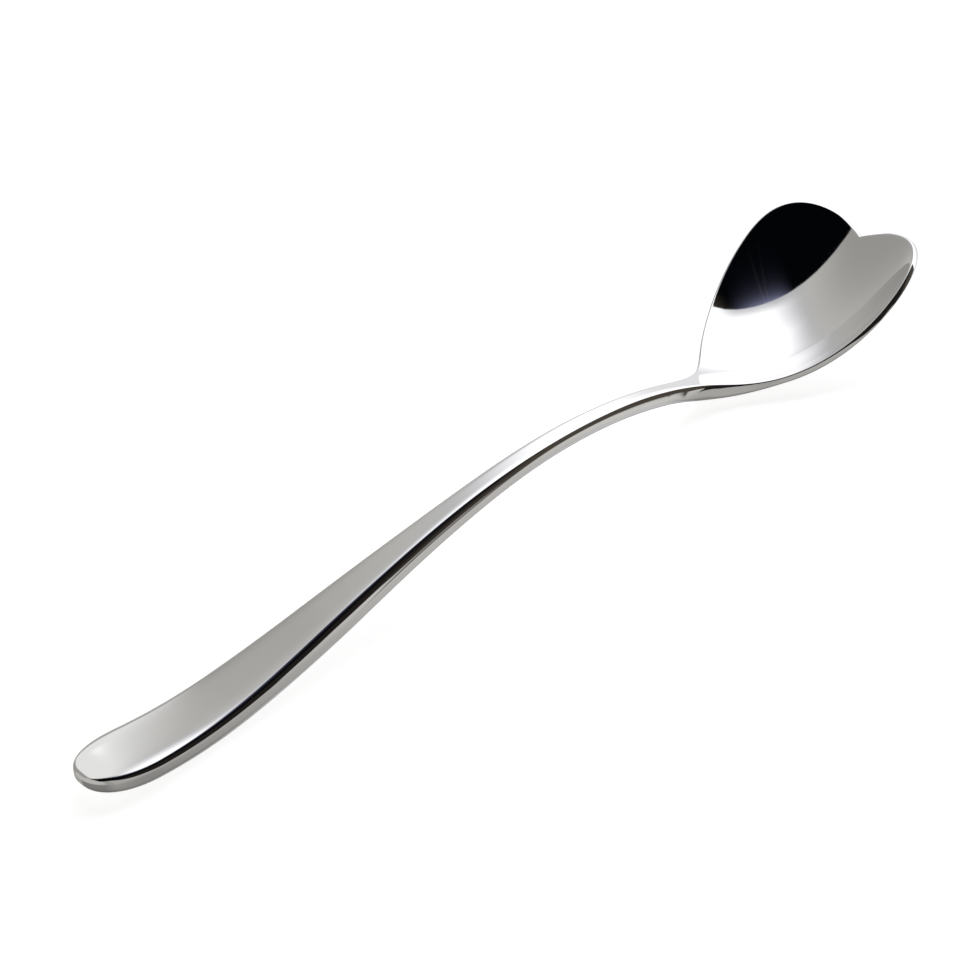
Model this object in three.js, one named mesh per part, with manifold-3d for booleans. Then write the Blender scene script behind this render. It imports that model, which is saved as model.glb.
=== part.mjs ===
// Dessert spoon with a heart-shaped bowl, resting on its underside.
// Millimetres. X runs from the butt of the handle to the bowl, Y across, Z up from the table.

import * as THREE from 'three';
import Module from 'manifold-3d';

const wasm = await Module();
wasm.setup();

// Stretches of the handle, from the butt end to the weld at the neck
const buttToPalm = 17.6;
const palmToGrip = 30.2;
const gripToRise = 26;
const riseToCrest = 22;
const crestToThroat = 18;
const throatToWeld = 12;

// Heights of the handle's top above the table; the palm itself rests on the table
const buttTop = 5.7;
const gripTop = 6.8;
const riseTop = 10.65;
const crestTop = 12.25;
const throatTop = 11;
const weldTop = 8.2;

// Widths of the handle
const buttWidth = 15.4;
const palmWidth = 13.8;
const gripWidth = 10.1;
const riseWidth = 6;
const crestWidth = 4.5;
const throatWidth = 3.85;
const weldWidth = 3.5;

// Thicknesses of the handle
const buttThick = 3.45;
const palmThick = 3.8;
const gripThick = 3.8;
const riseThick = 3.3;
const crestThick = 2.85;
const throatThick = 2.9;
const weldThick = 3.1;

// Rounding of the handle: share of the half width that is rounded, fullness of the rounding
const roundedShare = 0.85;
const sideFullness = 4.5;

// Rounded butt end: its length, and how full it is across and through the thickness
const buttRoundLength = 11.5;
const buttPlanFullness = 2.25;
const buttEdgeFullness = 3.5;

// Bowl: neck from the weld to the back of the dish, then the dish to the fronts of the lobes
const neckLength = 10;
const dishLength = 42.6;
const dishWidth = 40.3;

// Curvature of the dish along and across the spoon, and its deepest place from the back of the dish
const dishRadiusAlong = 31.3;
const dishRadiusAcross = 26.9;
const deepestPlace = 13.2;

// Thickness of the bowl at its deepest place and rim, fullness of the rim, where it gets thin past the weld
const bowlWall = 1.6;
const rimThick = 1.2;
const rimFullness = 2;
const rimThinStart = 5.5;
const rimThinEnd = 19;

// Heart outline: straight of the flank, length of a lobe, gap between the lobes' fronts, notch
const flankPlace = 6.3;
const flankHalfWidth = 9.3;
const flankAngle = 43;
const lobeLength = 12.4;
const lobeSpacing = 13.8;
const notchDepth = 1.5;
const notchAngle = 24;

// Fullness of each stretch of the outline, as shares of its length
const flareFullness = 0.42;
const flankFullness = 0.34;
const lobeSideFullness = 0.82;
const lobeFrontFullness = 0.36;
const notchFullness = 0.25;

// Depth of the small worn flats that the spoon rests on
const restCut = 0.085;

// Fineness of the faces
const buttSteps = 20;
const handleSteps = 34;
const sideSteps = 12;
const outlineSteps = [12, 13, 14, 6];
const dishSpots = [0, 0.1, 0.25, 0.4, 0.55, 0.7, 0.85];

// Slight step for slopes taken from a formula
const slopeStep = 0.01;

const degrees = Math.PI / 180;
const bowlLength = neckLength + dishLength;
const deepest = neckLength + deepestPlace;

// Smooth curve through values at rising places, free at the first place and with a set slope at the last
function smoothCurve(places, values, lastSlope) {
  const last = places.length - 1;
  const gaps = places.slice(1).map((place, i) => place - places[i]);
  const rises = gaps.map((gap, i) => (values[i + 1] - values[i]) / gap);
  const carry = [0.5];
  const partial = [1.5 * rises[0]];
  for (let i = 1; i < last; i += 1) {
    const before = 1 / gaps[i - 1];
    const after = 1 / gaps[i];
    const pivot = 2 * (before + after) - before * carry[i - 1];
    carry.push(after / pivot);
    partial.push((3 * (rises[i - 1] * before + rises[i] * after) - before * partial[i - 1]) / pivot);
  }
  const slopes = [];
  slopes[last] = lastSlope;
  for (let i = last - 1; i >= 0; i -= 1) {
    slopes[i] = partial[i] - carry[i] * slopes[i + 1];
  }
  return (place) => {
    let i = 0;
    while (i < last - 1 && place > places[i + 1]) {
      i += 1;
    }
    const gap = gaps[i];
    const t = (place - places[i]) / gap;
    const bend = values[i] * (1 + 2 * t) * (1 - t) ** 2 + values[i + 1] * t * t * (3 - 2 * t);
    return bend + gap * (slopes[i] * t * (1 - t) ** 2 - slopes[i + 1] * t * t * (1 - t));
  };
}

// Share from 0 to 1 that starts and ends gently
function gentle(place, start, end) {
  return THREE.MathUtils.smoothstep(place, start, end);
}

// Places along the handle counted from the weld, toward the butt negative
const crestPlace = -throatToWeld - crestToThroat;
const risePlace = crestPlace - riseToCrest;
const gripPlace = risePlace - gripToRise;
const palmPlace = gripPlace - palmToGrip;
const buttPlace = palmPlace - buttToPalm;
const handlePlaces = [buttPlace, palmPlace, gripPlace, risePlace, crestPlace, -throatToWeld, 0];
const handleWidths = [buttWidth, palmWidth, gripWidth, riseWidth, crestWidth, throatWidth, weldWidth];
const handleThicks = [buttThick, palmThick, gripThick, riseThick, crestThick, throatThick, weldThick];
const widthAt = smoothCurve(handlePlaces, handleWidths, 0);
const thickAt = smoothCurve(handlePlaces, handleThicks, 0);

// Top of the dish along the middle of the spoon
function dishTop(place) {
  return bowlWall - restCut + (place - deepest) ** 2 / (2 * dishRadiusAlong);
}

const palmTop = palmThick - restCut;
const handleTop = smoothCurve(
  [...handlePlaces, neckLength],
  [buttTop, palmTop, gripTop, riseTop, crestTop, throatTop, weldTop, dishTop(neckLength)],
  (neckLength - deepest) / dishRadiusAlong
);

// Height of the spoon's upper side: flat across at the handle, dished in the bowl
function upperSide(place, across) {
  const middle = place < neckLength ? handleTop(place) : dishTop(place);
  const dished = gentle(place, 0, neckLength);
  return middle + (dished * across * across) / (2 * dishRadiusAcross);
}

function upperPoint(place, across) {
  return new THREE.Vector3(place, across, upperSide(place, across));
}

function upperNormal(place, across) {
  const ahead = upperSide(place + slopeStep, across) - upperSide(place - slopeStep, across);
  const aside = upperSide(place, across + slopeStep) - upperSide(place, across - slopeStep);
  return new THREE.Vector3(-ahead, -aside, 2 * slopeStep).normalize();
}

// Tip of the butt end, half way through its thickness
const buttTip = upperPoint(buttPlace, 0).addScaledVector(upperNormal(buttPlace, 0), -buttThick / 2);

// Shift that puts the middle of the spoon's length at X 0
const lengthShift = -(buttTip.x + bowlLength) / 2;

// One rounded side of a section, from its upper edge over the outside to its lower edge
function roundedSide(centre, normal, outward, halfThick, rounding, fullness) {
  const points = [];
  for (let i = 0; i <= sideSteps; i += 1) {
    const angle = 90 * degrees - (i / sideSteps) * Math.PI;
    const up = Math.sign(Math.sin(angle)) * Math.abs(Math.sin(angle)) ** (2 / fullness);
    const out = i === 0 || i === sideSteps ? 0 : Math.cos(angle) ** (2 / fullness);
    const point = centre.clone().addScaledVector(normal, halfThick * up);
    points.push(point.addScaledVector(outward, rounding * out));
  }
  return points;
}

// Both sides of the handle's section at a place, with shares that close it in at the butt
function handleSection(place, widthShare, thickShare) {
  const normal = upperNormal(place, 0);
  const halfThick = thickAt(place) / 2;
  const halfWidth = (widthShare * widthAt(place)) / 2;
  const rounding = roundedShare * halfWidth;
  const middle = upperPoint(place, 0).addScaledVector(normal, -halfThick);
  return [1, -1].map((side) => {
    const outward = new THREE.Vector3(0, side, 0);
    const centre = middle.clone().addScaledVector(outward, halfWidth - rounding);
    return roundedSide(centre, normal, outward, thickShare * halfThick, rounding, sideFullness);
  });
}

// Places along the edge of the heart on one side, from the weld round to the notch
function halfOutline() {
  const start = new THREE.Vector2(0, weldWidth / 2);
  const flank = new THREE.Vector2(neckLength + flankPlace, flankHalfWidth);
  const widest = new THREE.Vector2(bowlLength - lobeLength, dishWidth / 2);
  const front = new THREE.Vector2(bowlLength, lobeSpacing / 2);
  const notch = new THREE.Vector2(bowlLength - notchDepth, 0);
  const ahead = new THREE.Vector2(1, 0);
  const aside = new THREE.Vector2(0, 1);
  const alongFlank = new THREE.Vector2(Math.cos(flankAngle * degrees), Math.sin(flankAngle * degrees));
  const fromNotch = new THREE.Vector2(Math.sin(notchAngle * degrees), Math.cos(notchAngle * degrees));
  const flareReach = flareFullness * start.distanceTo(flank);
  const flankReach = flankFullness * flank.distanceTo(widest);
  const frontReach = notchFullness * front.distanceTo(notch);
  const sideReach = lobeSideFullness * lobeLength;
  const lobeReach = lobeFrontFullness * (widest.y - front.y);
  const pulled = (point, direction, reach) => point.clone().addScaledVector(direction, reach);
  const stretches = [
    [start, pulled(start, ahead, flareReach), pulled(flank, alongFlank, -flankReach), flank],
    [flank, pulled(flank, alongFlank, flankReach), pulled(widest, ahead, -flankReach), widest],
    [widest, pulled(widest, ahead, sideReach), pulled(front, aside, lobeReach), front],
    [front, pulled(front, aside, -frontReach), pulled(notch, fromNotch, frontReach), notch],
  ];
  const edge = [];
  stretches.forEach((corners, i) => {
    const curve = new THREE.CubicBezierCurve(...corners);
    for (let step = 0; step < outlineSteps[i]; step += 1) {
      const at = step / outlineSteps[i];
      const heading = curve.getTangent(at);
      edge.push({ point: curve.getPoint(at), outward: new THREE.Vector2(-heading.y, heading.x) });
    }
  });
  edge.push({ point: notch, outward: ahead });
  return edge;
}

// Thickness of the bowl at a place, easing from the weld's to a set one
function bowlThick(place, thinned) {
  return THREE.MathUtils.lerp(weldThick, thinned, gentle(place, rimThinStart, rimThinEnd));
}

// Sections of the bowl, each from its middle over the rim to its underside, from the weld round and back
function bowlRows() {
  const half = halfOutline();
  const mirrored = half.slice(0, -1).reverse().map(({ point, outward }) => ({
    point: new THREE.Vector2(point.x, -point.y),
    outward: new THREE.Vector2(outward.x, -outward.y),
  }));
  return [...half, ...mirrored].map(({ point, outward }) => {
    const narrowed = gentle(point.x, 0, neckLength);
    const thick = bowlThick(point.x, rimThick);
    const rounding = THREE.MathUtils.lerp((roundedShare * weldWidth) / 2, rimThick / 2, narrowed);
    const fullness = THREE.MathUtils.lerp(sideFullness, rimFullness, narrowed);
    const level = new THREE.Vector3(outward.x, outward.y, 0);
    const within = point.clone().addScaledVector(outward, -rounding);
    const lean = upperNormal(within.x, within.y).dot(level);
    const inner = within.addScaledVector(outward, (lean * thick) / 2);
    const normal = upperNormal(inner.x, inner.y);
    const across = level.addScaledVector(normal, -level.dot(normal)).normalize();
    const centre = upperPoint(inner.x, inner.y).addScaledVector(normal, -thick / 2);
    const rim = roundedSide(centre, normal, across, thick / 2, rounding, fullness);
    const foot = new THREE.Vector2(Math.min(inner.x, deepest), 0);
    const skin = (depth) => dishSpots.map((share) => {
      const spot = foot.clone().lerp(inner, share);
      const wall = THREE.MathUtils.lerp(bowlThick(spot.x, bowlWall), thick, share * share);
      return upperPoint(spot.x, spot.y).addScaledVector(upperNormal(spot.x, spot.y), -depth * wall);
    });
    return [...skin(0), ...rim, ...skin(1).reverse()];
  });
}

// Closed body from faces given by their corner points, cut off flat at the table
function closedBody(name, faces) {
  const numbers = new Map();
  const positions = [];
  const corners = [];
  const numberOf = (point) => {
    const placed = [point.x + lengthShift, point.y, point.z];
    const key = placed.map((value) => value.toFixed(5)).join(' ');
    if (!numbers.has(key)) {
      numbers.set(key, numbers.size);
      positions.push(...placed);
    }
    return numbers.get(key);
  };
  faces.forEach((face) => {
    const [a, b, c] = face.map(numberOf);
    if (a !== b && b !== c && c !== a) {
      corners.push(a, b, c);
    }
  });
  const vertProperties = new Float32Array(positions);
  const triVerts = new Uint32Array(corners);
  const whole = new wasm.Manifold(new wasm.Mesh({ numProp: 3, vertProperties, triVerts }));
  const flattened = whole.trimByPlane([0, 0, 1], 0).getMesh();
  const shape = new THREE.BufferGeometry();
  shape.setAttribute('position', new THREE.BufferAttribute(flattened.vertProperties, 3));
  shape.setIndex(new THREE.BufferAttribute(flattened.triVerts, 1));
  shape.computeVertexNormals();
  const steel = new THREE.MeshStandardMaterial({ color: 0xcdced0, roughness: 0.08, metalness: 1 });
  const mesh = new THREE.Mesh(shape, steel);
  mesh.name = name;
  return mesh;
}

// Band of faces between two rows of points
function band(first, second) {
  const faces = [];
  for (let i = 0; i + 1 < first.length; i += 1) {
    faces.push([first[i], second[i], second[i + 1]]);
    faces.push([first[i], second[i + 1], first[i + 1]]);
  }
  return faces;
}

// Fan of faces from a middle point to a closed row of points
function fan(middle, row) {
  return row.map((point, i) => [middle, point, row[(i + 1) % row.length]]);
}

function middleOf(points) {
  const sum = points.reduce((total, point) => total.add(point), new THREE.Vector3());
  return sum.divideScalar(points.length);
}

// Row of points all round a section from its two halves
function roundRow([left, right]) {
  return [...left, ...right.slice().reverse()];
}

function makeHandle() {
  const rows = [];
  for (let i = 1; i <= buttSteps; i += 1) {
    const gone = Math.cos((i / buttSteps) * 90 * degrees);
    const place = buttPlace + buttRoundLength * (1 - gone);
    const widthShare = (1 - gone ** buttPlanFullness) ** (1 / buttPlanFullness);
    const thickShare = (1 - gone ** buttEdgeFullness) ** (1 / buttEdgeFullness);
    rows.push(roundRow(handleSection(place, widthShare, thickShare)));
  }
  const shank = buttPlace + buttRoundLength;
  for (let i = 1; i <= handleSteps; i += 1) {
    rows.push(roundRow(handleSection(shank * (1 - i / handleSteps), 1, 1)));
  }
  const weldRow = rows[rows.length - 1];
  const faces = fan(buttTip, rows[0]);
  for (let i = 0; i + 1 < rows.length; i += 1) {
    faces.push(...band([...rows[i], rows[i][0]], [...rows[i + 1], rows[i + 1][0]]));
  }
  faces.push(...fan(middleOf(weldRow), weldRow.slice().reverse()));
  return closedBody('handle', faces);
}

function makeBowl() {
  const rows = bowlRows();
  const weldRow = roundRow([rows[0], rows[rows.length - 1]]);
  const faces = fan(middleOf(weldRow), weldRow);
  for (let i = 0; i + 1 < rows.length; i += 1) {
    faces.push(...band(rows[i], rows[i + 1]));
  }
  return closedBody('bowl', faces);
}

const spoon = new THREE.Group();
spoon.name = 'dessert_spoon';
spoon.add(makeBowl(), makeHandle());

export default spoon;
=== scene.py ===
import bpy
import math
import numpy as np
from mathutils import Matrix, Vector


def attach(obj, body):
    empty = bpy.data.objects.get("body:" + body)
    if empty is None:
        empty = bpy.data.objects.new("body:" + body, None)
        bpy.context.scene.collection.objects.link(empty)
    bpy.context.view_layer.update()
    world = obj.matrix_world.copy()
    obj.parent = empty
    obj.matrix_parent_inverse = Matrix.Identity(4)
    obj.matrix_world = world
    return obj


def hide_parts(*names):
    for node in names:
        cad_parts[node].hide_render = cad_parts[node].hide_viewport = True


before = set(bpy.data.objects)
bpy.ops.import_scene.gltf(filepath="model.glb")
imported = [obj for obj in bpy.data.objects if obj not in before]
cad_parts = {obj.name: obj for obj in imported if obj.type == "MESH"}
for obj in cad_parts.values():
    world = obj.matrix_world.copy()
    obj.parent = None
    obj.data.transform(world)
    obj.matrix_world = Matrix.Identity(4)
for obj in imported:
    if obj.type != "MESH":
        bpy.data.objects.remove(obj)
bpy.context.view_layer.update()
print("frame loaded:", ", ".join(sorted(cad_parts)))

mm = 0.001

# Sizes in mm. Places run along the spoon from the weld in the neck, toward the butt negative.
handle = {
    "stretches": [17.59, 30.2, 26.0, 22.0, 18.0, 12.0],  # butt, palm, grip, rise, crest, throat, weld
    "tops": [5.7, 3.715, 6.8, 10.65, 12.25, 11.0, 8.2],  # above the table
    "widths": [15.4, 13.8, 10.1, 6.0, 4.5, 3.85, 3.5],
    "thicks": [3.45, 3.8, 3.8, 3.3, 2.85, 2.9, 3.1],
    "roundedShare": 0.85,  # of the half width
    "fullness": 4.5,
    "belt": 0.6,  # how far the sides' widest line lies below the middle, of half the thickness
    "beltEnds": [(-22.0, -50.0), (-97.0, -72.0)],  # where it sets in behind the weld and before the butt
    "buttRound": 11.5,
    "buttPlan": 2.25,
    "buttEdge": 3.5,
    "shankSteps": 84,
    "buttSteps": 20,
    "cornerSteps": 14,
}
bowl = {
    "neck": 10.0,
    "length": 42.6,
    "width": 40.11,
    "radiusAlong": 31.3,
    "radiusAcross": 26.9,
    "deepest": 13.2,  # from the back of the dish
    "wall": 1.6,
    "rim": 1.2,
    "rimFullness": 3.0,
    "trim": 0.1,  # of the lobes' fronts, so that the full rim stays inside the box
    "thinFrom": 5.5,
    "thinTo": 19.0,
    "flank": (6.3, 9.3, 43.0),  # from the back of the dish, half width, angle
    "lobe": (12.4, 13.8),  # length, gap between the two fronts
    "notch": (1.5, 24.0),  # depth, angle
    "reach": {"flare": 0.42, "flank": 0.34, "side": 0.82, "front": 0.36, "notch": 0.25},
    "edgeSteps": [44, 46, 48, 22],
    "skinSpots": [
        0, 0.02, 0.05, 0.1, 0.16, 0.23, 0.3, 0.38, 0.46,
        0.54, 0.62, 0.7, 0.78, 0.85, 0.91, 0.95, 0.98,
    ],  # from the middle line to the rim
    "rimSteps": 22,
}
wear = {"sink": 0.085, "soft": 0.1}  # how far the belly would sink below the table, how soft the worn edge is
seamRow = 0.06  # narrow first row on both sides of the weld, so no seam shows
creaseAngle = math.radians(50)


def smoothCurve(places, values, endSlope):
    x, y = np.array(places, float), np.array(values, float)
    gap = np.diff(x)
    rise = np.diff(y) / gap
    last = len(x) - 1
    left, right = np.zeros((last + 1, last + 1)), np.zeros(last + 1)
    left[0, :2], right[0] = (2, 1), 3 * rise[0]
    for i in range(1, last):
        left[i, i - 1:i + 2] = 1 / gap[i - 1], 2 / gap[i - 1] + 2 / gap[i], 1 / gap[i]
        right[i] = 3 * (rise[i - 1] / gap[i - 1] + rise[i] / gap[i])
    left[last, last], right[last] = 1, endSlope
    slope = np.linalg.solve(left, right)

    def at(place):
        place = np.asarray(place, float)
        i = np.clip(np.searchsorted(x, place) - 1, 0, last - 1)
        t = (place - x[i]) / gap[i]
        start = (y[i] * (1 + 2 * t) + slope[i] * gap[i] * t) * (1 - t) ** 2
        return start + (y[i + 1] * (3 - 2 * t) - slope[i + 1] * gap[i] * (1 - t)) * t ** 2
    return at


def gentle(place, start, end):
    t = np.clip((place - start) / (end - start), 0, 1)
    return t * t * (3 - 2 * t)


def mixed(a, b, share):
    return a + (b - a) * share


stations = np.cumsum([0, *handle["stretches"]]) - sum(handle["stretches"])
deepest = bowl["neck"] + bowl["deepest"]
bowlLength = bowl["neck"] + bowl["length"]


def dishTop(place):
    return bowl["wall"] - wear["sink"] + (place - deepest) ** 2 / (2 * bowl["radiusAlong"])


widthAt = smoothCurve(stations, handle["widths"], 0)
thickAt = smoothCurve(stations, handle["thicks"], 0)
shankTop = smoothCurve(
    [*stations, bowl["neck"]],
    [*handle["tops"], dishTop(bowl["neck"])],
    (bowl["neck"] - deepest) / bowl["radiusAlong"],
)


def bowlThick(place, thinned):
    return mixed(handle["thicks"][-1], thinned, gentle(place, bowl["thinFrom"], bowl["thinTo"]))


def upperSide(place, across):
    middle = np.where(place < bowl["neck"], shankTop(np.minimum(place, bowl["neck"])), dishTop(place))
    return middle + gentle(place, 0, bowl["neck"]) * across ** 2 / (2 * bowl["radiusAcross"])


def upperNormal(place, across):
    nudge = 0.01
    ahead = upperSide(place + nudge, across) - upperSide(place - nudge, across)
    aside = upperSide(place, across + nudge) - upperSide(place, across - nudge)
    normal = np.stack([-ahead, -aside, np.full_like(ahead, 2 * nudge)], -1)
    return normal / np.linalg.norm(normal, axis=-1, keepdims=True)


def belted(place, low):
    # the grip's sides are widest below the middle, which widens the dark strip that they mirror
    half = thickAt(np.minimum(place, 0)) / 2
    share = low / half + 1
    drop = handle["belt"]
    for start, end in handle["beltEnds"]:
        drop = drop * gentle(place, start, end)
    return low - half * drop * (1 - np.minimum(np.abs(share), 1))


def pressed(flat):
    # flat blank to spoon: its upper face onto the dies, the cut edge kept in its place
    place, across = flat[:, 0], flat[:, 1]
    low = belted(place, flat[:, 2])
    keep = gentle(place, 0, bowl["neck"]) * bowlThick(place, bowl["rim"]) / 2
    lean = upperNormal(place, across)
    place, across = place + lean[:, 0] * keep, across + lean[:, 1] * keep
    top = np.stack([place, across, upperSide(place, across)], -1)
    return top + upperNormal(place, across) * low[:, None]


buttPlace = stations[0]
buttTip = pressed(np.array([[buttPlace, 0, -handle["thicks"][0] / 2]]))[0]
middleShift = -(buttTip[0] + bowlLength) / 2


def pressPiece(piece):
    mesh = piece.data
    flat = np.empty(len(mesh.vertices) * 3)
    mesh.vertices.foreach_get("co", flat)
    done = pressed(flat.reshape(-1, 3))
    done[:, 0] += middleShift
    low = done[:, 2]
    done[:, 2] = (low + np.sqrt(low ** 2 + wear["soft"] ** 2)) / 2  # worn where it lies on the table
    mesh.vertices.foreach_set("co", (done * mm).ravel())
    mesh.update()


def startPiece(name):
    piece = bpy.context.object
    piece.name = piece.data.name = name
    return piece


def endPiece(piece):
    bpy.ops.object.mode_set(mode="OBJECT")
    pressPiece(piece)
    bpy.ops.object.select_all(action="DESELECT")
    piece.select_set(True)
    bpy.ops.object.shade_smooth_by_angle(angle=creaseAngle)


# Handle: a bevelled section drawn out from the weld to the butt, still flat
bpy.ops.object.select_all(action="DESELECT")
bpy.ops.mesh.primitive_plane_add(size=2, rotation=(0, math.pi / 2, 0))
bpy.ops.object.transform_apply(location=True, rotation=True, scale=True)
handlePiece = startPiece("spoonHandle")
bpy.ops.object.mode_set(mode="EDIT")
bpy.ops.mesh.select_mode(type="VERT")
bpy.ops.mesh.select_all(action="SELECT")
bpy.ops.transform.resize(value=(1, 1 / handle["roundedShare"], 1))
squareness = 0.25 ** (1 / handle["fullness"])
bpy.ops.mesh.bevel(offset=1, affect="VERTICES", segments=handle["cornerSteps"], profile=squareness)
bpy.ops.mesh.remove_doubles(threshold=0.0001)
bpy.ops.mesh.select_all(action="SELECT")
width, thick = handle["widths"][-1], handle["thicks"][-1]
bpy.ops.transform.resize(value=(1, handle["roundedShare"] * width / 2, thick / 2))
bpy.ops.transform.translate(value=(0, 0, -thick / 2))
bpy.ops.mesh.select_mode(type="FACE")
bpy.ops.mesh.select_all(action="SELECT")

shankEnd = buttPlace + handle["buttRound"]
rows = [(-seamRow, 1, 1)]
for i in range(1, handle["shankSteps"] + 1):
    rows.append((shankEnd * i / handle["shankSteps"], 1, 1))
for i in range(1, handle["buttSteps"]):
    gone = math.sin(i / handle["buttSteps"] * math.pi / 2)
    planShare = (1 - gone ** handle["buttPlan"]) ** (1 / handle["buttPlan"])
    edgeShare = (1 - gone ** handle["buttEdge"]) ** (1 / handle["buttEdge"])
    rows.append((shankEnd - handle["buttRound"] * gone, planShare, edgeShare))
place, middle = 0, -thick / 2
for nextPlace, planShare, edgeShare in rows:
    nextWidth = float(widthAt(nextPlace)) * planShare
    nextThick = float(thickAt(nextPlace)) * edgeShare
    nextMiddle = -float(thickAt(nextPlace)) / 2
    step = (nextPlace - place, 0, nextMiddle - middle)
    bpy.ops.mesh.extrude_region_move(TRANSFORM_OT_translate={"value": step})
    ratio = (1, nextWidth / width, nextThick / thick)
    bpy.ops.transform.resize(value=ratio, center_override=(nextPlace, 0, nextMiddle))
    place, middle, width, thick = nextPlace, nextMiddle, nextWidth, nextThick
tip = (buttPlace - place, 0, -handle["thicks"][0] / 2 - middle)
bpy.ops.mesh.extrude_region_move(TRANSFORM_OT_translate={"value": tip})
bpy.ops.mesh.merge(type="CENTER")
bpy.ops.mesh.select_all(action="SELECT")
bpy.ops.mesh.normals_make_consistent(inside=False)
endPiece(handlePiece)
print("handle drawn:", len(handlePiece.data.polygons), "faces")


def bezier(corners, t):
    a, b, c, d = (np.array(p, float) for p in corners)
    s = 1 - t
    point = s ** 3 * a + 3 * s * s * t * b + 3 * s * t * t * c + t ** 3 * d
    heading = s * s * (b - a) + 2 * s * t * (c - b) + t * t * (d - c)
    return point, heading / np.linalg.norm(heading)


def halfHeart():
    start = np.array([0, handle["widths"][-1] / 2])
    flank = np.array([bowl["neck"] + bowl["flank"][0], bowl["flank"][1]])
    widest = np.array([bowlLength - bowl["lobe"][0], bowl["width"] / 2])
    front = np.array([bowlLength - bowl["trim"], bowl["lobe"][1] / 2])
    notch = np.array([bowlLength - bowl["notch"][0], 0])
    ahead, aside = np.array([1, 0]), np.array([0, 1])
    flankAngle, notchAngle = math.radians(bowl["flank"][2]), math.radians(bowl["notch"][1])
    alongFlank = np.array([math.cos(flankAngle), math.sin(flankAngle)])
    fromNotch = np.array([math.sin(notchAngle), math.cos(notchAngle)])
    reach = bowl["reach"]
    flare = reach["flare"] * np.linalg.norm(flank - start) * ahead
    side = reach["flank"] * np.linalg.norm(widest - flank)
    tuck = reach["notch"] * np.linalg.norm(front - notch)
    stretches = [
        (start, start + flare, flank - side * alongFlank, flank),
        (flank, flank + side * alongFlank, widest - side * ahead, widest),
        (widest, widest + reach["side"] * bowl["lobe"][0] * ahead,
         front + reach["front"] * (widest[1] - front[1]) * aside, front),
        (front, front - tuck * aside, notch + tuck * fromNotch, notch),
    ]
    edge = []
    for corners, steps in zip(stretches, bowl["edgeSteps"]):
        for i in range(steps):
            point, heading = bezier(corners, i / steps)
            edge.append((point, np.array([-heading[1], heading[0]])))
    point, heading = bezier(stretches[0], seamRow / (3 * np.linalg.norm(flare)))
    edge.insert(1, (point, np.array([-heading[1], heading[0]])))
    return edge + [(notch, ahead)]


def sectionRow(point, outward):
    # one row of the blank: from the middle over the rim and back below
    weldRound = handle["roundedShare"] * handle["widths"][-1] / 2
    turned = gentle(point[0], 0, bowl["neck"])
    rounding = mixed(weldRound, bowl["rim"] / 2, turned)
    fullness = mixed(handle["fullness"], bowl["rimFullness"], turned)
    thick = bowlThick(point[0], bowl["rim"])
    inner = point - outward * rounding
    foot = np.array([min(inner[0], deepest), 0])
    lean = upperNormal(*inner[:, None])[0, :2] @ outward
    reach = rounding * math.sqrt(1 - lean ** 2) * outward
    upper, lower, rim = [], [], []
    for share in bowl["skinSpots"]:
        spot = mixed(foot, inner, share)
        wall = mixed(bowlThick(spot[0], bowl["wall"]), thick, share ** 2)
        upper.append((*spot, 0))
        lower.append((*spot, -wall))
    for i in range(bowl["rimSteps"] + 1):
        angle = math.pi * (0.5 - i / bowl["rimSteps"])
        up = math.copysign(abs(math.sin(angle)) ** (2 / fullness), angle)
        out = max(math.cos(angle), 0) ** (2 / fullness) if 0 < i < bowl["rimSteps"] else 0
        rim.append((*(inner + reach * out), thick / 2 * (up - 1)))
    return upper + rim + lower[::-1]


# Bowl: a grid wrapped round the heart's edge from the weld to the weld; polished steel shows every dent,
# so its rows are laid by formula
left = halfHeart()
edge = left + [(point * (1, -1), outward * (1, -1)) for point, outward in left[-2::-1]]
sections = [sectionRow(point, outward) for point, outward in edge]
around, over = len(sections) - 1, len(sections[0]) - 1
bpy.ops.object.select_all(action="DESELECT")
bpy.ops.mesh.primitive_grid_add(x_subdivisions=around, y_subdivisions=over, size=2)
bowlPiece = startPiece("spoonBowl")
for vertex in bowlPiece.data.vertices:
    i = round((vertex.co.x + 1) / 2 * around)
    j = round((vertex.co.y + 1) / 2 * over)
    vertex.co = sections[i][j]
bpy.ops.object.mode_set(mode="EDIT")
bpy.ops.mesh.select_all(action="SELECT")
bpy.ops.mesh.remove_doubles(threshold=0.0005)
bpy.ops.mesh.select_all(action="DESELECT")
bpy.ops.mesh.select_mode(type="EDGE")
bpy.ops.mesh.select_non_manifold()
bpy.ops.mesh.edge_face_add()
bpy.ops.mesh.select_all(action="SELECT")
bpy.ops.mesh.normals_make_consistent(inside=False)
endPiece(bowlPiece)
print("bowl pressed:", len(bowlPiece.data.polygons), "faces")


class Wire:
    def __init__(self, board, socket):
        self.board, self.socket = board, socket

    def math(self, operation, *values):
        return self.board.node("ShaderNodeMath", {"operation": operation}, values)

    def __add__(self, other):
        return self.math("ADD", self, other)

    def __radd__(self, other):
        return self.math("ADD", other, self)

    def __sub__(self, other):
        return self.math("SUBTRACT", self, other)

    def __rsub__(self, other):
        return self.math("SUBTRACT", other, self)

    def __mul__(self, other):
        return self.math("MULTIPLY", self, other)

    def __rmul__(self, other):
        return self.math("MULTIPLY", other, self)

    def __truediv__(self, other):
        return self.math("DIVIDE", self, other)

    def __rtruediv__(self, other):
        return self.math("DIVIDE", other, self)

    def __pow__(self, other):
        return self.math("POWER", self, other)

    def __rpow__(self, other):
        return self.math("POWER", other, self)

    def atLeast(self, other):
        return self.math("MAXIMUM", self, other)

    def atMost(self, other):
        return self.math("MINIMUM", self, other)


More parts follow.
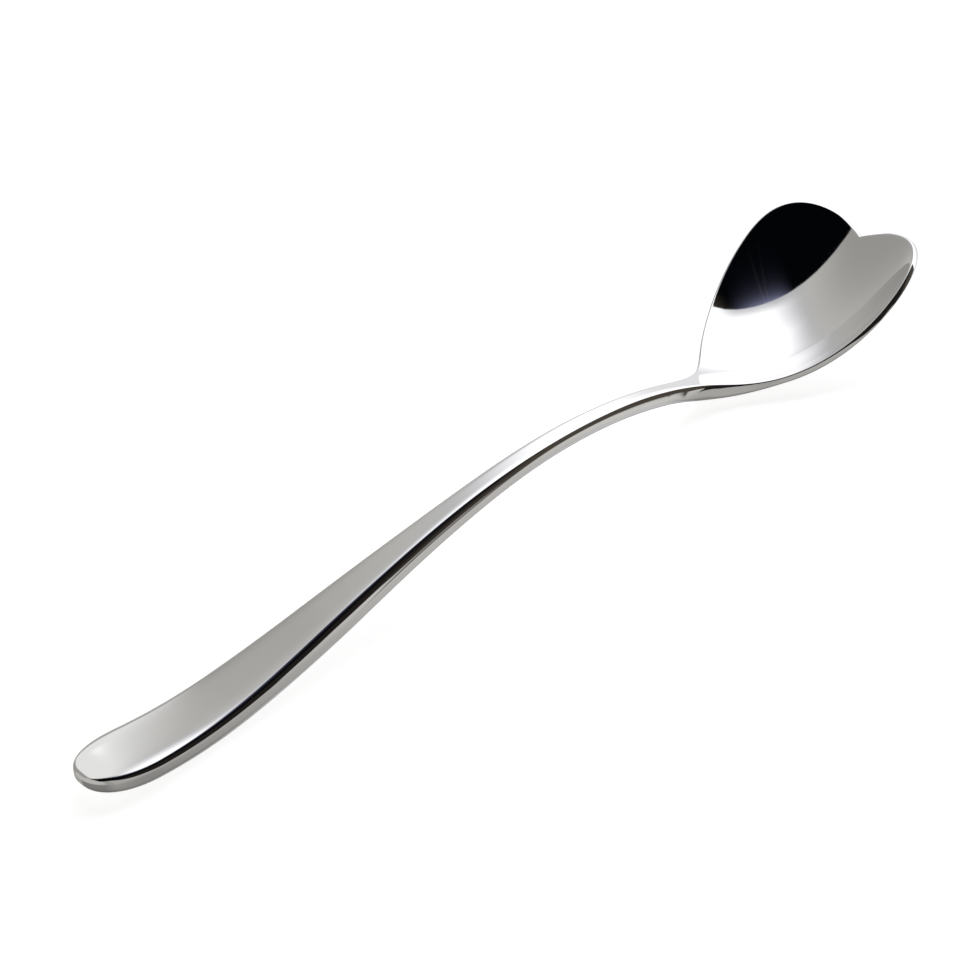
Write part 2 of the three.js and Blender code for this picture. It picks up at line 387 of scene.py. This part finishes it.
class Board:
    def __init__(self, owner):
        owner.use_nodes = True
        self.tree = owner.node_tree
        self.tree.nodes.clear()

    def node(self, kind, settings=None, inputs=(), output=0):
        made = self.tree.nodes.new(kind)
        for name, value in (settings or {}).items():
            setattr(made, name, value)
        for key, value in inputs.items() if isinstance(inputs, dict) else enumerate(inputs):
            if isinstance(value, Wire):
                self.tree.links.new(value.socket, made.inputs[key])
            else:
                made.inputs[key].default_value = value
        return Wire(self, made.outputs[output]) if made.outputs else None

    def ease(self, value, start, end):
        return self.node(
            "ShaderNodeMapRange", {"interpolation_type": "SMOOTHSTEP"},
            {"Value": value, "From Min": start, "From Max": end, "To Min": 0.0, "To Max": 1.0},
        )

    def blend(self, share, a, b):
        return self.node("ShaderNodeMix", {"data_type": "RGBA"}, {0: share, 6: a, 7: b}, 2)

    def tint(self, level, colour):
        return self.node("ShaderNodeVectorMath", {"operation": "SCALE"}, {0: colour, "Scale": level})

    def both(self, a, b):
        return self.node("ShaderNodeVectorMath", {"operation": "ADD"}, [a, b])

    def axes(self):
        at = self.node("ShaderNodeTexCoord", output="Object")
        return [self.node("ShaderNodeSeparateXYZ", {}, [at], axis) for axis in "XYZ"]


steel = {
    "light": (0.86, 0.86, 0.865, 1),
    "dull": (0.83, 0.825, 0.82, 1),
    "gloss": 0.03,  # roughness of the clean mirror
    "smudge": 0.03,
    "smudgeScale": 60.0,
    "hair": 0.012,
    "hairScale": 5000.0,
    "hairStretch": 0.05,  # along the spoon
    "hairBump": 0.02,
    "hairDepth": 0.00002,
}


def polishedSteel():
    material = bpy.data.materials.new("polishedSteel")
    board = Board(material)
    at = board.node("ShaderNodeTexCoord", output="Object")
    cloud = board.node("ShaderNodeTexNoise", {}, {"Vector": at, "Scale": steel["smudgeScale"], "Detail": 3.0})
    smudge = board.ease(cloud, 0.5, 0.75)
    drawn = board.node("ShaderNodeMapping", {}, {"Vector": at, "Scale": (steel["hairStretch"], 1.0, 1.0)})
    hairs = board.node(
        "ShaderNodeTexNoise", {},
        {"Vector": drawn, "Scale": steel["hairScale"], "Detail": 2.0},
    )
    colour = board.blend(smudge * 0.6 + cloud * 0.2, steel["light"], steel["dull"])
    rough = steel["gloss"] + steel["smudge"] * smudge + steel["hair"] * hairs
    bump = board.node(
        "ShaderNodeBump", {},
        {"Strength": steel["hairBump"], "Distance": steel["hairDepth"], "Height": hairs},
    )
    shine = board.node(
        "ShaderNodeBsdfPrincipled", {},
        {"Base Color": colour, "Metallic": 1.0, "Roughness": rough, "Normal": bump},
    )
    board.node("ShaderNodeOutputMaterial", {}, {"Surface": shine})
    return material


mirror = polishedSteel()
for piece, node in ((bowlPiece, "bowl"), (handlePiece, "handle")):
    piece.data.materials.append(mirror)
    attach(piece, "root")
    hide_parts(node)
print("steel polished")

# Light tent that the steel mirrors: cloth behind, a dark gap toward the camera, and in front below glowing
# paper that stands in for the lit floor in the steel, with painted shadow of the spoon on it.
# Its X, Y and Z are right, away and up in the photo, and places on it are shares of its radius.
tent = {
    "radius": 0.5,
    "turn": -31.8,
    "segments": 96,
    "rings": 48,
    "level": 0.93,
    "warm": (1.02, 1.0, 0.955, 1),
    "cool": (0.993, 0.995, 1.01, 1),
    "side": {"squeeze": 0.35, "up": 0.25, "shift": 0.09},
    "edge": {"up": 0.26, "right": 0.12, "bow": 0.17, "flick": 0.24, "flickFrom": 0.38, "blur": 0.008},
    "cloth": {
        "left": 0.36,
        "middle": 0.22,  # more than at the left
        "glare": 0.9,  # more than in the middle, at the right
        "edgeShade": 0.5,
        "footShade": 0.38,
        "footLift": 0.1,
        "floorShade": 0.35,
    },
    "gap": {
        "dark": (0.001, 0.0014, 0.0021),
        "brown": (1.2, 1.0, 0.8),
        "violet": (0.78, 0.82, 1.3),
        "front": 0.012,
        "right": 0.05,
        "leak": 0.26,
        "leakFade": 15,
        "stays": [(0.12, 0.085, 0.045), (0.0, 0.027, 0.0315)],  # lean, place, light
        "stayThin": 28000,
        "stayFade": 6.5,
        "stayEnd": 0.25,
    },
    "paper": {
        "left": 0.27,
        "wing": 0.3,  # more at the far left
        "middle": 0.18,
        "right": 0.18,
        "rightStep": 0.099,
        "lowShade": 0.35,
        "footShade": 0.25,
    },
    "brim": {  # the paper's upper edge
        "high": 0.28,
        "bow": 1.78,
        "right": 1.99,
        "away": 1.107,
        "low": 0.5,
        "rise": 0.4,
        "frontRise": 1.3,
        "bump": 1.5,
        "rightLift": 0.02,
        "neckDip": 0.035,
        "gripDip": 0.05,
        "blur": 0.02,
    },
}


def tentLight():
    material = bpy.data.materials.new("tentLight")
    material.cycles.emission_sampling = "NONE"
    board = Board(material)
    right, away, up = (axis / tent["radius"] for axis in board.axes())
    def nearer(place):
        return (place - away).atLeast(0.0)

    # how far round the tent a place lies, and where the cloth ends above the spoon
    bend = tent["side"]
    high = board.ease(up, 0.7, 0.95)
    side = right * (1 - bend["squeeze"] * high) + bend["up"] * up - bend["shift"] * high
    bend = tent["edge"]
    edge = away - bend["up"] * up + bend["right"] * right - bend["bow"] * right * right
    edge = edge + bend["flick"] * (right - bend["flickFrom"]).atLeast(0.0)
    behind = board.ease(edge, -bend["blur"], bend["blur"])

    cloth = tent["cloth"]
    glare = board.ease(side, -0.05, 0.15)
    wall = cloth["left"] + cloth["middle"] * board.ease(side, -0.42, 0.06)
    wall = wall + cloth["glare"] * board.ease(side, -0.02, 0.22)
    wall = wall * (1 - cloth["edgeShade"] * glare * board.ease(edge, 0.14, 0.0) * board.ease(right, 0.5, 0.3))
    wall = wall * (1 - cloth["footShade"] * glare * board.ease(up, 0.46, 0.14))
    wall = wall + cloth["footLift"] * (1 - glare) * board.ease(up, 0.2, 0.0)
    wall = wall * (1 - cloth["floorShade"] * board.ease(up, -0.3, -0.8))
    tone = board.blend(board.ease(side, -0.1, 0.05), tent["warm"], tent["cool"])
    clothColour = board.tint(wall, tone)

    # gap, with a faint brown glow painted into it, two thin stays painted as lines of light, and light that
    # leaks in at the cloth's edge
    gap = tent["gap"]
    brown = gap["front"] * board.ease(right - away, 0.4, 0.8)
    brown = brown + gap["right"] * board.ease(right + 0.5 * away, 0.4, 0.65)
    fade = math.e ** (gap["stayFade"] * (away.atMost(gap["stayEnd"]) - gap["stayEnd"]))
    fade = fade * board.ease(away, -0.25, -0.15)
    for lean, place, light in gap["stays"]:
        off = right + lean * away - place
        brown = brown + light * fade * math.e ** (-gap["stayThin"] * off * off)
    leak = gap["leak"] * math.e ** (gap["leakFade"] * edge.atMost(0.0))
    leak = leak * board.ease(right, -0.2, 0.0) * board.ease(right, 0.38, 0.08)
    glow = board.both(board.tint(brown, gap["brown"]), board.tint(leak, gap["violet"]))
    gapColour = board.both(glow, gap["dark"])

    # glowing paper: the lit floor as the steel would mirror it, painted in, brighter at the right and at the
    # far left
    paper = tent["paper"]
    sheet = paper["left"] + paper["middle"] * board.ease(right, -0.6, -0.1)
    sheet = sheet + paper["wing"] * board.ease(right, -0.35, -0.6) * board.ease(up, -0.3, -0.1)
    sheet = sheet + paper["right"] * board.ease(right, 0.68, 0.84)
    sheet = sheet + paper["rightStep"] * board.ease(right, 0.77, 0.83)
    # painted shadow of the spoon on the floor: darker low down toward the left, darkest straight below
    sheet = sheet * (1 - paper["lowShade"] * board.ease(up, -0.2, -0.6) * board.ease(right, 0.72, 0.5))
    sheet = sheet * (1 - paper["footShade"] * board.ease(up, -0.6, -0.9))
    paperColour = board.tint(sheet, tent["warm"][:3])

    # the paper ends in a bowed line at the left and in a low one, rising toward the camera, at the right
    brim = tent["brim"]
    near = right.atLeast(-0.2).atMost(0.56)
    highTop = brim["bow"] * near * near - brim["right"] * near - brim["away"] * away - brim["high"]
    lowTop = brim["rise"] * nearer(-0.28) * (1 + board.ease(right, 0.78, 0.84))
    lowTop = lowTop + brim["frontRise"] * nearer(-0.55) - brim["low"]
    bump = board.ease(right, 0.73, 0.76) * board.ease(right, 0.86, 0.8)
    lowTop = lowTop + brim["bump"] * nearer(-0.45) * bump
    lowTop = lowTop + brim["rightLift"] * board.ease(right, 0.8, 0.84)
    lowTop = lowTop - brim["neckDip"] * board.ease(right, 0.74, 0.7)
    lowTop = lowTop - brim["gripDip"] * board.ease(away, -0.5, -0.42) * board.ease(right, 0.8, 0.74)
    top = highTop + (lowTop - highTop) * board.ease(right, 0.5, 0.65)
    below = board.ease(up - top, brim["blur"], -brim["blur"])
    below = below.atLeast(board.ease(right + 0.1 * away, -0.57, -0.63))

    front = board.blend(below, gapColour, paperColour)
    colour = board.blend(behind, front, clothColour)
    lit = board.node("ShaderNodeEmission", {}, {"Color": colour, "Strength": tent["level"]})
    board.node("ShaderNodeOutputMaterial", {}, {"Surface": lit})
    return material


bpy.ops.object.select_all(action="DESELECT")
bpy.ops.mesh.primitive_uv_sphere_add(
    segments=tent["segments"], ring_count=tent["rings"], radius=tent["radius"],
)
tentPiece = startPiece("lightTent")
tentPiece.rotation_euler.z = math.radians(tent["turn"])
tentPiece.data.materials.append(tentLight())
tentPiece.visible_camera = False
tentPiece.visible_shadow = False

# Small glowing card that the butt end mirrors: it lights nothing and is seen only in the steel, where it
# paints the butt end's highlight, with a painted bright spot on it; mm
card = {
    "spot": (-83.0, 3.0, 5.0),
    "way": (0.38, 0.76, 0.52),
    "distance": 45.0,
    "size": 100.0,
    "level": 0.875,
    "tone": (1.0, 1.0, 0.985),
    "acrossFades": [(13.0, 0.0), (-28.0, -20.0)],
    "alongFades": [(-22.0, -12.0), (40.0, 25.0)],
    # painted bright spot on the glowing card, which the butt end mirrors as a highlight
    "shine": 0.19,
    "shineAt": (-1.2, -0.8),
    "shineThin": 0.2,
}


def cardLight():
    material = bpy.data.materials.new("cardLight")
    material.cycles.emission_sampling = "NONE"
    board = Board(material)
    across, along = (axis / mm for axis in board.axes()[:2])
    share = 1.0
    for start, end in card["acrossFades"]:
        share = share * board.ease(across, start, end)
    for start, end in card["alongFades"]:
        share = share * board.ease(along, start, end)
    # painted bright spot: a round peak of glow that the butt end mirrors as its highlight
    aside, ahead = across - card["shineAt"][0], along - card["shineAt"][1]
    shine = math.e ** (-card["shineThin"] * (aside * aside + ahead * ahead))
    colour = board.tint(card["level"] + card["shine"] * shine, card["tone"])
    lit = board.node("ShaderNodeEmission", {}, {"Color": colour, "Strength": 1.0})
    clear = board.node("ShaderNodeBsdfTransparent")
    soft = board.node("ShaderNodeMixShader", {}, [share, clear, lit])
    board.node("ShaderNodeOutputMaterial", {}, {"Surface": soft})
    return material


facing = -Vector(card["way"]).normalized()
across = Vector((0, 0, 1)).cross(facing).normalized()
bpy.ops.object.select_all(action="DESELECT")
bpy.ops.mesh.primitive_plane_add(size=card["size"] * mm)
glowingCardPiece = startPiece("glowingHighlightCard")
glowingCardPiece.rotation_euler = Matrix((across, facing.cross(across), facing)).transposed().to_euler()
glowingCardPiece.location = (Vector(card["spot"]) - facing * card["distance"]) * mm
glowingCardPiece.data.materials.append(cardLight())
glowingCardPiece.visible_camera = False
glowingCardPiece.visible_shadow = False
glowingCardPiece.visible_diffuse = False

floor = {
    "radius": 3.0,
    "sides": 96,
    "albedo": 0.8,
    "lift": 0.77,  # light of its own near the spoon, which keeps the shadow pale
    "farLift": 1.05,
    "farFrom": 0.15,
    "farTo": 0.4,
}


def seenRays(board):
    ways = ("Is Camera Ray", "Is Glossy Ray", "Is Transmission Ray")
    camera, glossy, through = (board.node("ShaderNodeLightPath", output=way) for way in ways)
    return (camera + glossy + through).atMost(1.0)


def paleFloor():
    material = bpy.data.materials.new("paleFloor")
    board = Board(material)
    at = board.node("ShaderNodeTexCoord", output="Object")
    far = board.node("ShaderNodeVectorMath", {"operation": "LENGTH"}, [at], "Value")
    gone = board.ease(far, floor["farFrom"], floor["farTo"])
    lift = seenRays(board) * (floor["lift"] + (floor["farLift"] - floor["lift"]) * gone)
    paper = board.node("ShaderNodeBsdfDiffuse", {}, {"Color": (*[floor["albedo"]] * 3, 1)})
    white = board.node("ShaderNodeEmission", {}, {"Color": board.tint(lift, (1, 1, 1)), "Strength": 1.0})
    both = board.node("ShaderNodeAddShader", {}, [paper, white])
    board.node("ShaderNodeOutputMaterial", {}, {"Surface": both})
    return material


bpy.ops.object.select_all(action="DESELECT")
bpy.ops.mesh.primitive_circle_add(vertices=floor["sides"], radius=floor["radius"], fill_type="NGON")
floorPiece = startPiece("paleFloor")
floorPiece.data.materials.append(paleFloor())
floorPiece.visible_glossy = False  # the tent's own paper stands for it in the steel

world = bpy.context.scene.world or bpy.data.worlds.new("studio")
bpy.context.scene.world = world
board = Board(world)
sky = board.node("ShaderNodeBackground", {}, {"Color": (1, 1, 1, 1), "Strength": seenRays(board)})
board.node("ShaderNodeOutputWorld", {}, {"Surface": sky})
print("studio set up")

camera = {
    "place": (-198.57, -335.70, 267.67),
    "ahead": (0.41964, 0.71934, -0.55358),
    "roll": -14.34,
    "lens": 100,
    "sensor": 36,
    "nearest": 0.01,  # metres
}
bpy.ops.object.camera_add(location=[v * mm for v in camera["place"]])
eye = bpy.context.object
eye.name = "photoView"
turn = Vector(camera["ahead"]).to_track_quat("-Z", "Y").to_matrix()
turn = Matrix.Rotation(math.radians(camera["roll"]), 3, -Vector(camera["ahead"])) @ turn
eye.rotation_euler = turn.to_euler()
eye.data.lens = camera["lens"]
eye.data.sensor_width = camera["sensor"]
eye.data.clip_start = camera["nearest"]
bpy.context.scene.camera = eye
bpy.context.scene.view_settings.view_transform = "Standard"
